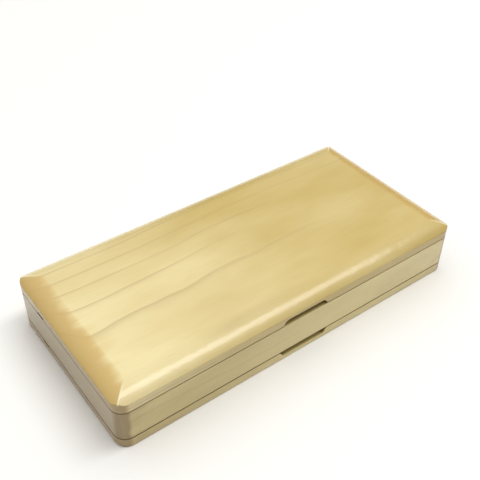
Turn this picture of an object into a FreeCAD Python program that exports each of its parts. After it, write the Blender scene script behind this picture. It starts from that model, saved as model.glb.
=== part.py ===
import FreeCAD, Part
import math
import os
import Sketcher

# A flat wooden poker chip case that opens from both sides. Four mitred rails make a shallow
# frame, a thin panel in their groove splits it into two compartments, and each compartment has
# a flocked tray with round wells for stacks of chips. A bevelled upper lid and a thin lower lid
# are hung on small butt hinges along the rear, and magnets in the front rims keep them shut.
# The leaves have holes for their screws, but the screws themselves are left out.
# The origin is the centre of the underside. +X runs along the case, -Y is the front, +Z is up.

DIMENSIONS = {
    # Outside of the case
    "CaseLength": 220.0,
    "CaseDepth": 106.0,
    "CornerRadius": 10.0,
    "LowerLidThickness": 6.0,
    "FrameHeight": 18.4,
    "UpperLidThickness": 9.5,
    "SeamGap": 0.3,
    "RimChamfer": 0.35,
    "BaseRounding": 1.0,
    # Bevel round the upper lid
    "LipHeight": 5.1,
    "BevelWidth": 11.5,
    "BevelCrown": 0.95,
    # Frame, panel and the recesses in the lids
    "WallThickness": 8.0,
    "PanelThickness": 2.4,
    "PanelHeight": 12.4,
    "GrooveDepth": 3.0,
    "UpperRecess": 5.2,
    "LowerRecess": 2.8,
    "RecessRadius": 3.0,
    "LiningThickness": 0.8,
    "LiningClearance": 0.3,
    # Finger notches at the front and nail notches at the ends
    "UpperNotchWidth": 30.0,
    "LowerNotchWidth": 32.0,
    "NotchSlope": 2.4,
    "NotchHeight": 3.4,
    "NotchReach": 4.0,
    "NotchRounding": 1.4,
    "NotchCove": 2.6,
    "NailNotchWidth": 7.0,
    "NailNotchHeight": 1.6,
    "NailNotchReach": 1.5,
    "NailNotchFromRear": 28.5,
    # Trays
    "TrayClearance": 0.3,
    "TrayRadius": 2.0,
    "TrayFloor": 1.0,
    "UpperTrayHeight": 9.2,
    "LowerTrayHeight": 5.0,
    "WellRadius": 20.5,
    "WellPitch": 50.0,
    "WellRowPitch": 44.4,
    "FingerGap": 17.0,
    "FingerGapShare": 0.65,
    # Butt hinges
    "HingeWidth": 26.0,
    "HingeSpacing": 130.0,
    "LeafThickness": 1.0,
    "LeafDepth": 6.4,
    "MortiseClearance": 0.1,
    "KnuckleRadius": 1.75,
    "KnuckleLength": 9.0,
    "KnuckleGap": 0.2,
    "PinRadius": 0.75,
    "PinPlay": 0.05,
    "PinOffset": 2.05,
    "ScrewHoleRadius": 0.9,
    "ScrewHoleSpacing": 15.0,
    "ScrewHoleInset": 3.9,
    # Magnets
    "MagnetRadius": 2.5,
    "MagnetThickness": 2.0,
    "MagnetSpacing": 150.0,
}

WELL_COLUMNS = 4
THROUGH = 1.0          # how far a cutting outline runs past the wood it cuts
NEAR = 1e-4            # tolerance for finding edges by their place

document = FreeCAD.newDocument("PokerChipCase")
sheet = document.addObject("Spreadsheet::Sheet", "Sizes")
for row, (alias, number) in enumerate(DIMENSIONS.items(), start=1):
    sheet.set("A%d" % row, alias)
    sheet.set("B%d" % row, str(number))
    sheet.setAlias("B%d" % row, alias)
document.recompute()


class Size:
    """A length from the sheet: its number now, and the expression that keeps it bound."""

    def __init__(self, number, text):
        self.number = number
        self.text = text

    def join(self, sign, other, number):
        return Size(number, "(%s %s %s)" % (self.text, sign, size_of(other).text))

    def __add__(self, other):
        return self.join("+", other, self.number + size_of(other).number)

    def __sub__(self, other):
        return self.join("-", other, self.number - size_of(other).number)

    def __mul__(self, other):
        return self.join("*", other, self.number * size_of(other).number)

    def __truediv__(self, other):
        return self.join("/", other, self.number / size_of(other).number)

    def __neg__(self):
        return Size(-self.number, "(0 - %s)" % self.text)


def size_of(value):
    if isinstance(value, Size):
        return value
    return Size(float(value), repr(float(value)))


def cell(alias):
    return Size(DIMENSIONS[alias], "Sizes.%s" % alias)


def bind(thing, path, value):
    thing.setExpression(path, size_of(value).text)


half_length = cell("CaseLength") / 2
half_depth = cell("CaseDepth") / 2
inner_half_length = half_length - cell("WallThickness")
inner_half_depth = half_depth - cell("WallThickness")
frame_bottom = cell("LowerLidThickness") + cell("SeamGap")
frame_top = frame_bottom + cell("FrameHeight")
upper_lid_bottom = frame_top + cell("SeamGap")
hinge_line = half_depth + cell("PinOffset")
screw_line = half_depth - cell("ScrewHoleInset")
magnet_line = cell("WallThickness") / 2 - half_depth


# Document helpers

def new_body(label):
    body = document.addObject("PartDesign::Body", label)
    body.Label = label
    return body


def new_sketch(body, name, role, offset=0.0):
    """A sketch on one of the body's own origin planes, moved along that plane's normal."""
    sketch = body.newObject("Sketcher::SketchObject", name)
    plane = next(feature for feature in body.Origin.OriginFeatures if feature.Role == role)
    sketch.AttachmentSupport = [(plane, "")]
    sketch.MapMode = "FlatFace"
    bind(sketch, "AttachmentOffset.Base.z", offset)
    return sketch


def dimension(sketch, kind, geometry, point, value):
    """A driving dimension bound to the sheet."""
    value = size_of(value)
    if point is None:
        index = sketch.addConstraint(Sketcher.Constraint(kind, geometry, value.number))
    else:
        index = sketch.addConstraint(Sketcher.Constraint(kind, geometry, point, value.number))
    bind(sketch, "Constraints[%d]" % index, value)


def add_outline(sketch, points):
    """A closed outline. A third item in a point is the crown of an arc that leads to it."""
    ends = []
    for index, point in enumerate(points):
        before = points[index - 1]
        start = FreeCAD.Vector(size_of(before[0]).number, size_of(before[1]).number, 0)
        end = FreeCAD.Vector(size_of(point[0]).number, size_of(point[1]).number, 0)
        if len(point) == 2:
            geometry = sketch.addGeometry(Part.LineSegment(start, end))
            ends.append((geometry, 1, 2))
            continue
        crown = size_of(point[2])
        across = (end - start).cross(FreeCAD.Vector(0, 0, 1)).normalize()
        middle = (start + end) / 2 + across * crown.number
        geometry = sketch.addGeometry(Part.Arc(start, middle, end))
        swapped = crown.number < 0
        ends.append((geometry, 2, 1) if swapped else (geometry, 1, 2))
        run = size_of(point[0]) - before[0]
        rise = size_of(point[1]) - before[1]
        size = crown if crown.number > 0 else -crown
        dimension(sketch, "Radius", geometry, None, (run * run + rise * rise) / (size * 8) + size / 2)
    for index, (geometry, start, end) in enumerate(ends):
        other = ends[(index + 1) % len(ends)]
        sketch.addConstraint(Sketcher.Constraint("Coincident", geometry, end, other[0], other[1]))
        dimension(sketch, "DistanceX", geometry, end, points[index][0])
        dimension(sketch, "DistanceY", geometry, end, points[index][1])


def add_rectangle(sketch, left, right, low, high):
    add_outline(sketch, [(left, low), (right, low), (right, high), (left, high)])


def add_circle(sketch, across, along, radius):
    centre = FreeCAD.Vector(size_of(across).number, size_of(along).number, 0)
    circle = Part.Circle(centre, FreeCAD.Vector(0, 0, 1), size_of(radius).number)
    geometry = sketch.addGeometry(circle)
    dimension(sketch, "DistanceX", geometry, 3, across)
    dimension(sketch, "DistanceY", geometry, 3, along)
    dimension(sketch, "Radius", geometry, None, radius)


def pad(body, sketch, length, midplane=False):
    feature = body.newObject("PartDesign::Pad", sketch.Name + "Pad")
    feature.Profile = sketch
    bind(feature, "Length", length)
    feature.Midplane = midplane
    document.recompute()
    return feature


def pocket(body, sketch, depth=None, reverse=False):
    """Cuts the sketch's outline to a depth, or right through to both sides. The solid has to get smaller."""
    before = body.Shape.Volume
    feature = body.newObject("PartDesign::Pocket", sketch.Name + "Pocket")
    feature.Profile = sketch
    if depth is None:
        feature.Type = "ThroughAll"
        feature.Midplane = True
    else:
        bind(feature, "Length", depth)
        feature.Reversed = reverse
    document.recompute()
    if body.Shape.Volume > before - NEAR:
        raise RuntimeError("%s cut nothing from %s" % (feature.Name, body.Label))
    return feature


def edge_names(feature, test):
    names = ["Edge%d" % (index + 1) for index, edge in enumerate(feature.Shape.Edges) if test(edge)]
    if not names:
        raise RuntimeError("no edge of %s passes the test" % feature.Label)
    return names


def round_edges(body, name, radius, test):
    """A fillet on every edge of the body that the test picks."""
    base = body.Tip
    fillet = body.newObject("PartDesign::Fillet", name)
    fillet.Base = (base, edge_names(base, test))
    bind(fillet, "Radius", radius)
    document.recompute()
    return fillet


def chamfer_edges(body, name, size, test):
    """A 45 degree chamfer on every edge of the body that the test picks."""
    base = body.Tip
    chamfer = body.newObject("PartDesign::Chamfer", name)
    chamfer.Base = (base, edge_names(base, test))
    bind(chamfer, "Size", size)
    document.recompute()
    return chamfer


def is_upright(edge):
    box = edge.BoundBox
    return box.ZLength > NEAR and box.XLength < NEAR and box.YLength < NEAR


def is_level(edge, height):
    box = edge.BoundBox
    return abs(box.ZMin - height) < NEAR and abs(box.ZMax - height) < NEAR


def runs_along_y(edge):
    box = edge.BoundBox
    return box.YLength > NEAR and box.XLength < NEAR and box.ZLength < NEAR


def on_outline(edge):
    """Whether the middle of the edge lies on the case's rounded outline, seen from above."""
    middle = edge.valueAt((edge.FirstParameter + edge.LastParameter) / 2)
    radius = DIMENSIONS["CornerRadius"]
    beyond_x = abs(middle.x) - half_length.number + radius
    beyond_y = abs(middle.y) - half_depth.number + radius
    outside = math.hypot(max(beyond_x, 0.0), max(beyond_y, 0.0))
    inside = min(max(beyond_x, beyond_y), 0.0)
    return abs(outside + inside - radius) < NEAR * 10


def place(thing, height=0.0, across=0.0, along=0.0, turned=False):
    """Puts a sub-part in the case. turned flips it top to bottom about the front-to-back axis."""
    rotation = FreeCAD.Rotation(FreeCAD.Vector(0, 1, 0), 180.0 if turned else 0.0)
    thing.Placement = FreeCAD.Placement(FreeCAD.Vector(0, 0, 0), rotation)
    bind(thing, "Placement.Base.x", across)
    bind(thing, "Placement.Base.y", along)
    bind(thing, "Placement.Base.z", height)
    return thing


def group(label, members):
    """Several separate solids of one kind, kept as one sub-part."""
    compound = document.addObject("Part::Compound", label)
    compound.Label = label
    compound.Links = members
    return compound


# What is cut into a rim for the hinges and magnets. Every rim's plane is level, and reverse
# says that the wood lies above it.

def cut_hinge_seats(body, name, rim, reverse):
    """A mortise for each leaf, open at the rear."""
    mortises = new_sketch(body, name + "Mortises", "XY_Plane", rim)
    half_mortise = cell("HingeWidth") / 2 + cell("MortiseClearance")
    inner = half_depth - cell("LeafDepth") - cell("MortiseClearance")
    for side in (-1, 1):
        centre = cell("HingeSpacing") / 2 * side
        add_rectangle(mortises, centre - half_mortise, centre + half_mortise, inner, half_depth + THROUGH)
    pocket(body, mortises, cell("LeafThickness"), reverse)


def cut_magnet_seats(body, name, rim, reverse):
    sockets = new_sketch(body, name + "MagnetSockets", "XY_Plane", rim)
    for side in (-1, 1):
        add_circle(sockets, cell("MagnetSpacing") / 2 * side, magnet_line, cell("MagnetRadius"))
    pocket(body, sockets, cell("MagnetThickness"), reverse)


# Frame: a ring with rounded corners, grooved for the panel and cut into four rails at the mitres

def make_ring():
    ring = new_body("frame_ring")
    outside = new_sketch(ring, "RingOutside", "XY_Plane", frame_bottom)
    add_rectangle(outside, -half_length, half_length, -half_depth, half_depth)
    pad(ring, outside, cell("FrameHeight"))
    round_edges(ring, "RingCorners", cell("CornerRadius"), is_upright)
    for name, height in (("RingTopArris", frame_top), ("RingBottomArris", frame_bottom)):
        chamfer_edges(ring, name, cell("RimChamfer"), lambda edge: is_level(edge, height.number))
    inside = new_sketch(ring, "RingInside", "XY_Plane")
    add_rectangle(inside, -inner_half_length, inner_half_length, -inner_half_depth, inner_half_depth)
    pocket(ring, inside)
    groove = new_sketch(ring, "PanelGroove", "XY_Plane", cell("PanelHeight"))
    groove_x = inner_half_length + cell("GrooveDepth")
    groove_y = inner_half_depth + cell("GrooveDepth")
    add_rectangle(groove, -groove_x, groove_x, -groove_y, groove_y)
    pocket(ring, groove, cell("PanelThickness"), reverse=True)
    cut_hinge_seats(ring, "RingTop", frame_top, reverse=False)
    cut_hinge_seats(ring, "RingBottom", frame_bottom, reverse=True)
    cut_magnet_seats(ring, "RingTop", frame_top, reverse=False)
    cut_magnet_seats(ring, "RingBottom", frame_bottom, reverse=True)
    return ring


def make_rails(ring):
    """Each rail is the part of the ring between two 45 degree mitres."""
    ridge = half_length - half_depth
    wedges = {
        "front_rail": [(-half_length, -half_depth), (half_length, -half_depth), (ridge, 0), (-ridge, 0)],
        "rear_rail": [(-half_length, half_depth), (-ridge, 0), (ridge, 0), (half_length, half_depth)],
        "left_rail": [(-half_length, half_depth), (-half_length, -half_depth), (-ridge, 0)],
        "right_rail": [(half_length, half_depth), (ridge, 0), (half_length, -half_depth)],
    }
    rails = []
    for label, corners in wedges.items():
        wedge = new_body(label + "_wedge")
        sketch = new_sketch(wedge, label + "WedgeSketch", "XY_Plane", frame_bottom)
        add_outline(sketch, corners)
        pad(wedge, sketch, cell("FrameHeight"))
        rail = document.addObject("Part::Common", label)
        rail.Base = ring
        rail.Tool = wedge
        rail.Label = label
        rails.append(rail)
    return rails


def make_panel():
    panel = new_body("divider_panel")
    outline = new_sketch(panel, "PanelOutline", "XY_Plane")
    edge_x = inner_half_length + cell("GrooveDepth")
    edge_y = inner_half_depth + cell("GrooveDepth")
    add_rectangle(outline, -edge_x, edge_x, -edge_y, edge_y)
    pad(panel, outline, cell("PanelThickness"))
    return place(panel, height=cell("PanelHeight"))


# Lids. Each is drawn with its rim on the XY plane and its outer face upwards.

def cut_bevels(lid, thickness):
    """A crowned bevel on all four sides. Two straight cuts cross, which leaves mitred hips."""
    lip = cell("LipHeight")
    cuts = (("EndBevels", "XZ_Plane", half_length), ("SideBevels", "YZ_Plane", half_depth))
    for name, role, reach in cuts:
        waste = new_sketch(lid, name, role)
        for side in (-1, 1):
            face = reach * side
            shoulder = (reach - cell("BevelWidth")) * side
            beyond = (reach + THROUGH) * side
            crown = cell("BevelCrown") * side
            top = thickness + THROUGH
            add_outline(waste, [
                (face, lip), (shoulder, thickness, crown), (shoulder, top), (beyond, top), (beyond, lip),
            ])
        pocket(lid, waste)


def cut_notches(lid, name, notch_width):
    """The finger notch in the middle of the front rim, and a nail notch in each end."""
    finger = new_sketch(lid, name + "FingerNotch", "XZ_Plane", half_depth)
    foot = notch_width / 2
    head = foot - cell("NotchSlope")
    height = cell("NotchHeight")
    add_outline(finger, [
        (-foot, -THROUGH), (foot, -THROUGH), (foot, 0), (head, height), (-head, height), (-foot, 0),
    ])
    pocket(lid, finger, cell("NotchReach"))
    back = DIMENSIONS["NotchReach"] - half_depth.number

    def is_notch_corner(edge):
        return runs_along_y(edge) and is_level(edge, height.number) and edge.BoundBox.YMax < back + NEAR

    def is_back_edge(edge):
        return is_level(edge, height.number) and abs(edge.BoundBox.YMin - back) < NEAR

    round_edges(lid, name + "NotchCorners", cell("NotchRounding"), is_notch_corner)
    round_edges(lid, name + "NotchCove", cell("NotchCove"), is_back_edge)
    middle = half_depth - cell("NailNotchFromRear")
    half_notch = cell("NailNotchWidth") / 2
    for side, where in ((-1, "Left"), (1, "Right")):
        nail = new_sketch(lid, name + where + "NailNotch", "YZ_Plane", half_length * side)
        add_rectangle(nail, middle - half_notch, middle + half_notch, -THROUGH, cell("NailNotchHeight"))
        pocket(lid, nail, cell("NailNotchReach"), reverse=side < 0)


def make_lid(label, name, thickness, recess, notch_width, bevelled):
    lid = new_body(label)
    outline = new_sketch(lid, name + "Outline", "XY_Plane")
    add_rectangle(outline, -half_length, half_length, -half_depth, half_depth)
    pad(lid, outline, thickness)
    round_edges(lid, name + "Corners", cell("CornerRadius"), is_upright)
    if bevelled:
        cut_bevels(lid, thickness)
    else:
        round_edges(lid, name + "BaseArris", cell("BaseRounding"),
                    lambda edge: is_level(edge, thickness.number))
    chamfer_edges(lid, name + "RimArris", cell("RimChamfer"), lambda edge: is_level(edge, 0.0))
    hollow = new_sketch(lid, name + "Recess", "XY_Plane")
    add_rectangle(hollow, -inner_half_length, inner_half_length, -inner_half_depth, inner_half_depth)
    pocket(lid, hollow, recess, reverse=True)
    round_edges(lid, name + "RecessCorners", cell("RecessRadius"),
                lambda edge: is_upright(edge) and not on_outline(edge))
    cut_notches(lid, name, notch_width)
    cut_hinge_seats(lid, name, 0.0, reverse=True)
    cut_magnet_seats(lid, name, 0.0, reverse=True)
    return lid


def make_lining(label, recess):
    """Felt on the floor of a lid's recess."""
    lining = new_body(label)
    outline = new_sketch(lining, label + "Outline", "XY_Plane", recess - cell("LiningThickness"))
    edge_x = inner_half_length - cell("LiningClearance")
    edge_y = inner_half_depth - cell("LiningClearance")
    add_rectangle(outline, -edge_x, edge_x, -edge_y, edge_y)
    pad(lining, outline, cell("LiningThickness"))
    round_edges(lining, label + "Corners", cell("RecessRadius"), is_upright)
    return lining


# Trays, drawn with the floor on the XY plane and the wells open upwards

def make_tray(label, name, tray_height):
    tray = new_body(label)
    outline = new_sketch(tray, name + "Outline", "XY_Plane")
    edge_x = inner_half_length - cell("TrayClearance")
    edge_y = inner_half_depth - cell("TrayClearance")
    add_rectangle(outline, -edge_x, edge_x, -edge_y, edge_y)
    pad(tray, outline, tray_height)
    round_edges(tray, name + "Corners", cell("TrayRadius"), is_upright)
    first_column = cell("WellPitch") * ((1 - WELL_COLUMNS) / 2)
    well_depth = tray_height - cell("TrayFloor")
    wells = new_sketch(tray, name + "Wells", "XY_Plane", tray_height)
    for side in (-1, 1):
        add_circle(wells, first_column, cell("WellRowPitch") / 2 * side, cell("WellRadius"))
    first_wells = pocket(tray, wells, well_depth)
    columns = tray.newObject("PartDesign::LinearPattern", name + "Columns")
    columns.Originals = [first_wells]
    columns.Direction = (wells, ["H_Axis"])
    columns.Occurrences = WELL_COLUMNS
    bind(columns, "Length", cell("WellPitch") * (WELL_COLUMNS - 1))
    tray.Tip = columns
    document.recompute()
    gaps = new_sketch(tray, name + "FingerGaps", "XY_Plane", tray_height)
    half_gap = cell("FingerGap") / 2
    for side in (-1, 1):
        middle = cell("WellRowPitch") / 2 * side
        add_rectangle(gaps, first_column, -first_column, middle - half_gap, middle + half_gap)
    pocket(tray, gaps, well_depth * cell("FingerGapShare"))
    return tray


# Butt hinges, drawn about the pin: the X axis is the pin, and the leaves run towards -Y

def make_leaf(label, above, knuckle_starts, bore_radius):
    """One leaf with its knuckles. above says which side of the seam it lies on."""
    leaf = new_body(label)
    side = 1 if above else -1
    near = cell("SeamGap") / 2 * side
    far = near + cell("LeafThickness") * side
    barrel = new_sketch(leaf, label + "Knuckles", "YZ_Plane")
    add_circle(barrel, 0, 0, cell("KnuckleRadius"))
    pad(leaf, barrel, cell("HingeWidth"), midplane=True)
    plate = new_sketch(leaf, label + "Plate", "YZ_Plane")
    inner_edge = -(cell("PinOffset") + cell("LeafDepth"))
    low, high = (near, far) if above else (far, near)
    add_rectangle(plate, inner_edge, 0, low, high)
    pad(leaf, plate, cell("HingeWidth"), midplane=True)
    gaps = new_sketch(leaf, label + "KnuckleGaps", "XY_Plane")
    reach = cell("KnuckleRadius") + cell("KnuckleGap")
    for start, end in knuckle_starts:
        add_rectangle(gaps, start, end, -reach, reach + THROUGH)
    pocket(leaf, gaps)
    bore = new_sketch(leaf, label + "PinBore", "YZ_Plane")
    add_circle(bore, 0, 0, bore_radius)
    pocket(leaf, bore)
    holes = new_sketch(leaf, label + "ScrewHoles", "XY_Plane")
    for end in (-1, 1):
        across = cell("ScrewHoleSpacing") / 2 * end
        add_circle(holes, across, screw_line - hinge_line, cell("ScrewHoleRadius"))
    pocket(leaf, holes)
    return leaf


def make_pin(label):
    """A plain pin, cut flush with the ends of the barrel."""
    pin = new_body(label)
    section = new_sketch(pin, label + "Section", "YZ_Plane")
    add_circle(section, 0, 0, cell("PinRadius"))
    pad(pin, section, cell("HingeWidth"), midplane=True)
    return pin


def make_hinges(level, seam, flipped):
    """Two hinges along one seam. flipped puts the frame's leaves above the seam."""
    parts = []
    knuckle = cell("KnuckleLength") / 2
    half_width = cell("HingeWidth") / 2
    room = cell("KnuckleGap") / 2
    for side, where in ((-1, "left"), (1, "right")):
        stem = "%s_%s" % (level, where)
        inner_side = [(-knuckle - room, knuckle + room)]
        outer_sides = [(-half_width - THROUGH, -knuckle + room), (knuckle - room, half_width + THROUGH)]
        frame_leaf = make_leaf(stem + "_frame_leaf", False, inner_side, cell("PinRadius"))
        lid_leaf = make_leaf(stem + "_lid_leaf", True, outer_sides, cell("PinRadius") + cell("PinPlay"))
        pin = make_pin(stem + "_hinge_pin")
        for piece in (frame_leaf, lid_leaf, pin):
            across = cell("HingeSpacing") / 2 * side
            parts.append(place(piece, height=seam, across=across, along=hinge_line, turned=flipped))
    return parts


def make_magnets(label, rim, upwards):
    """Two discs let into a rim: they start on the rim's plane and run into the wood."""
    discs = []
    for side in (-1, 1):
        disc = document.addObject("Part::Cylinder", "%s_%d" % (label, len(discs)))
        bind(disc, "Radius", cell("MagnetRadius"))
        bind(disc, "Height", cell("MagnetThickness"))
        across = cell("MagnetSpacing") / 2 * side
        discs.append(place(disc, height=rim, across=across, along=magnet_line, turned=not upwards))
    return group(label, discs)


def make_case():
    upper_seam = frame_top + cell("SeamGap") / 2
    lower_seam = frame_bottom - cell("SeamGap") / 2
    lower_rim = cell("LowerLidThickness")
    parts = make_rails(make_ring())
    parts.append(make_panel())
    upper_tray = make_tray("upper_tray", "UpperTray", cell("UpperTrayHeight"))
    lower_tray = make_tray("lower_tray", "LowerTray", cell("LowerTrayHeight"))
    parts.append(place(upper_tray, height=cell("PanelHeight") + cell("PanelThickness")))
    parts.append(place(lower_tray, height=cell("PanelHeight"), turned=True))
    upper_lid = make_lid("upper_lid", "UpperLid", cell("UpperLidThickness"), cell("UpperRecess"),
                         cell("UpperNotchWidth"), bevelled=True)
    lower_lid = make_lid("lower_lid", "LowerLid", cell("LowerLidThickness"), cell("LowerRecess"),
                         cell("LowerNotchWidth"), bevelled=False)
    parts.append(place(upper_lid, height=upper_lid_bottom))
    parts.append(place(lower_lid, height=lower_rim, turned=True))
    parts.append(place(make_lining("upper_lid_lining", cell("UpperRecess")), height=upper_lid_bottom))
    parts.append(place(make_lining("lower_lid_lining", cell("LowerRecess")), height=lower_rim, turned=True))
    parts += make_hinges("upper", upper_seam, flipped=False)
    parts += make_hinges("lower", lower_seam, flipped=True)
    rims = (
        ("upper_lid", upper_lid_bottom, True),
        ("upper_frame", frame_top, False),
        ("lower_frame", frame_bottom, True),
        ("lower_lid", lower_rim, False),
    )
    for stem, rim, upwards in rims:
        parts.append(make_magnets(stem + "_magnets", rim, upwards))
    return parts


def check_and_write(parts):
    document.recompute()
    for thing in document.Objects:
        if "Invalid" in thing.State or "Error" in thing.State:
            raise RuntimeError("%s failed to build: %s" % (thing.Label, thing.State))
    for part in parts:
        if part.Shape.isNull() or not part.Shape.isValid():
            raise RuntimeError("%s has no valid shape" % part.Label)
    os.makedirs("parts", exist_ok=True)
    for part in parts:
        part.Shape.exportStep("parts/%s.step" % part.Label)
        print("%-26s %9.1f mm3, %d solid(s)" % (part.Label, part.Shape.Volume, len(part.Shape.Solids)))


check_and_write(make_case())
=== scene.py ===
import math

import bmesh
import bpy
from mathutils import Matrix, Vector


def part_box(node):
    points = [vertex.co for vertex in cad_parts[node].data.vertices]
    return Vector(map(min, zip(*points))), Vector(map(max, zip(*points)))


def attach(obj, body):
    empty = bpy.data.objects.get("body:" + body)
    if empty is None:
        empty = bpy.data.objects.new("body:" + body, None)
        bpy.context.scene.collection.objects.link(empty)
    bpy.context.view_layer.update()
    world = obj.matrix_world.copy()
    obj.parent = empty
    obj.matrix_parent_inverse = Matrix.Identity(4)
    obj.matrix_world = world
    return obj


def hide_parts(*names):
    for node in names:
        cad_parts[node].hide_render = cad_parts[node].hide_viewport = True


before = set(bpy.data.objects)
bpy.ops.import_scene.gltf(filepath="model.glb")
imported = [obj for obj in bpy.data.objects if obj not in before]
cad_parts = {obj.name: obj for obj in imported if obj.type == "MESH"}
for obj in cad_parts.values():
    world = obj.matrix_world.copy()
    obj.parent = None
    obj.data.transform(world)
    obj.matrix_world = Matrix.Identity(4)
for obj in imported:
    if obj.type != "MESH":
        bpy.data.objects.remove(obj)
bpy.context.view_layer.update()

# A flat maple poker chip case that opens from both sides, standing closed. Lengths are in metres.
# The main sizes are read from the frame, and the rest are the maker's own.

MM = 0.001

lid_low, lid_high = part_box("upper_lid")
base_low, base_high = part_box("lower_lid")
front_low, front_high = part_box("front_rail")
HALF_LENGTH = lid_high.x
HALF_DEPTH = lid_high.y
LID_RIM = lid_low.z
LID_TOP = lid_high.z
BASE_RIM = base_high.z
FRAME_LOW = front_low.z
FRAME_HIGH = front_high.z
WALL = 8 * MM

CORNER_RADIUS = 7 * MM
CORNER_STEPS = 20
LIP_HEIGHT = 5.1 * MM
BEVEL_WIDTH = 11.5 * MM
BEVEL_CROWN = 0.95 * MM
BEVEL_STEPS = 14
ARRIS_ROUNDING = 0.45 * MM
RIM_ROUNDING = 0.3 * MM
BASE_ROUNDING = 1.0 * MM
RECESS_RADIUS = 3 * MM

UPPER_NOTCH_WIDTH = 30 * MM
LOWER_NOTCH_WIDTH = 32 * MM
NOTCH_SLOPE = 2.4 * MM
NOTCH_HEIGHT = 3.4 * MM
NOTCH_REACH = 5.5 * MM
NOTCH_ROUNDING = 1.4 * MM
NOTCH_COVE = 2.0 * MM
NAIL_NOTCH_WIDTH = 7.0 * MM
NAIL_NOTCH_HEIGHT = 1.6 * MM
NAIL_NOTCH_REACH = 1.5 * MM
NAIL_NOTCH_FROM_REAR = 28.5 * MM
NAIL_NOTCH_MIDDLE = HALF_DEPTH - NAIL_NOTCH_FROM_REAR

TRAY_RADIUS = 2 * MM
TRAY_FLOOR = 1 * MM
TRAY_ROUNDING = 0.5 * MM
WELL_COLUMNS = 4
WELL_RADIUS = 20.5 * MM
WELL_PITCH = 50 * MM
WELL_ROW_PITCH = 44.4 * MM
FINGER_GAP = 17 * MM
FINGER_GAP_SHARE = 0.65

LEAF_THICKNESS = 1.0 * MM
LEAF_CLEARANCE = 0.1 * MM
KNUCKLE_HALF = 4.5 * MM
KNUCKLE_GAP = 0.2 * MM
KNUCKLE_ROUNDING = 0.15 * MM
PIN_HEAD_RADIUS = 1.2 * MM
PIN_HEAD_LENGTH = 0.5 * MM
SCREW_SPACING = 15 * MM
SCREW_INSET = 3.9 * MM
SCREW_HEAD_RADIUS = 1.6 * MM
SCREW_HEAD_HEIGHT = 0.7 * MM
SCREW_SHANK_RADIUS = 0.8 * MM
SCREW_SLOT = 0.4 * MM
SOCKET_CLEARANCE = 0.05 * MM
MAGNET_ROUNDING = 0.2 * MM
FELT_ROUNDING = 0.25 * MM

RING_SPACING = 5.3 * MM
FIRST_RING = 97.4 * MM      # a ring ends this far from the pith
RING_SWAY = 5 * MM
LATE_WOOD_PEAK = 0.965      # where in a ring its line is darkest
# Colour of the painted shade along the seams
SEAM_SHADE = "#4f3612"
# Colour of the painted shade in the notches
NOTCH_SHADE = "#36260c"
# Colour of the painted highlight on the lid's hips
HIP_HIGHLIGHT = "#f7eec6"

OVERLAP = 1 * MM            # how far a cutter runs past what it cuts
NEAR = 1e-6                 # tolerance for finding edges by their place


# Materials

def linear(hex_colour):
    """An sRGB hex colour as linear RGBA."""
    channels = [int(hex_colour[i:i + 2], 16) / 255 for i in (1, 3, 5)]
    return [c / 12.92 if c <= 0.04045 else ((c + 0.055) / 1.055) ** 2.4 for c in channels] + [1.0]


def add(tree, kind, settings=None, links=None, stops=(), **attributes):
    """Adds a node. settings are socket values, links are (node, output) pairs, stops a ramp's colours."""
    made = tree.nodes.new(kind)
    for key, value in attributes.items():
        setattr(made, key, value)
    for key, value in (settings or {}).items():
        made.inputs[key].default_value = value
    for key, (source, output) in (links or {}).items():
        tree.links.new(source.outputs[output], made.inputs[key])
    for index, (position, colour) in enumerate(stops):
        elements = made.color_ramp.elements
        element = elements[index] if index < len(elements) else elements.new(position)
        element.position = position
        element.color = linear(colour)
    return made


def new_material(name):
    material = bpy.data.materials.new(name)
    material.use_nodes = True
    material.node_tree.nodes.clear()
    return material, material.node_tree


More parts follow.
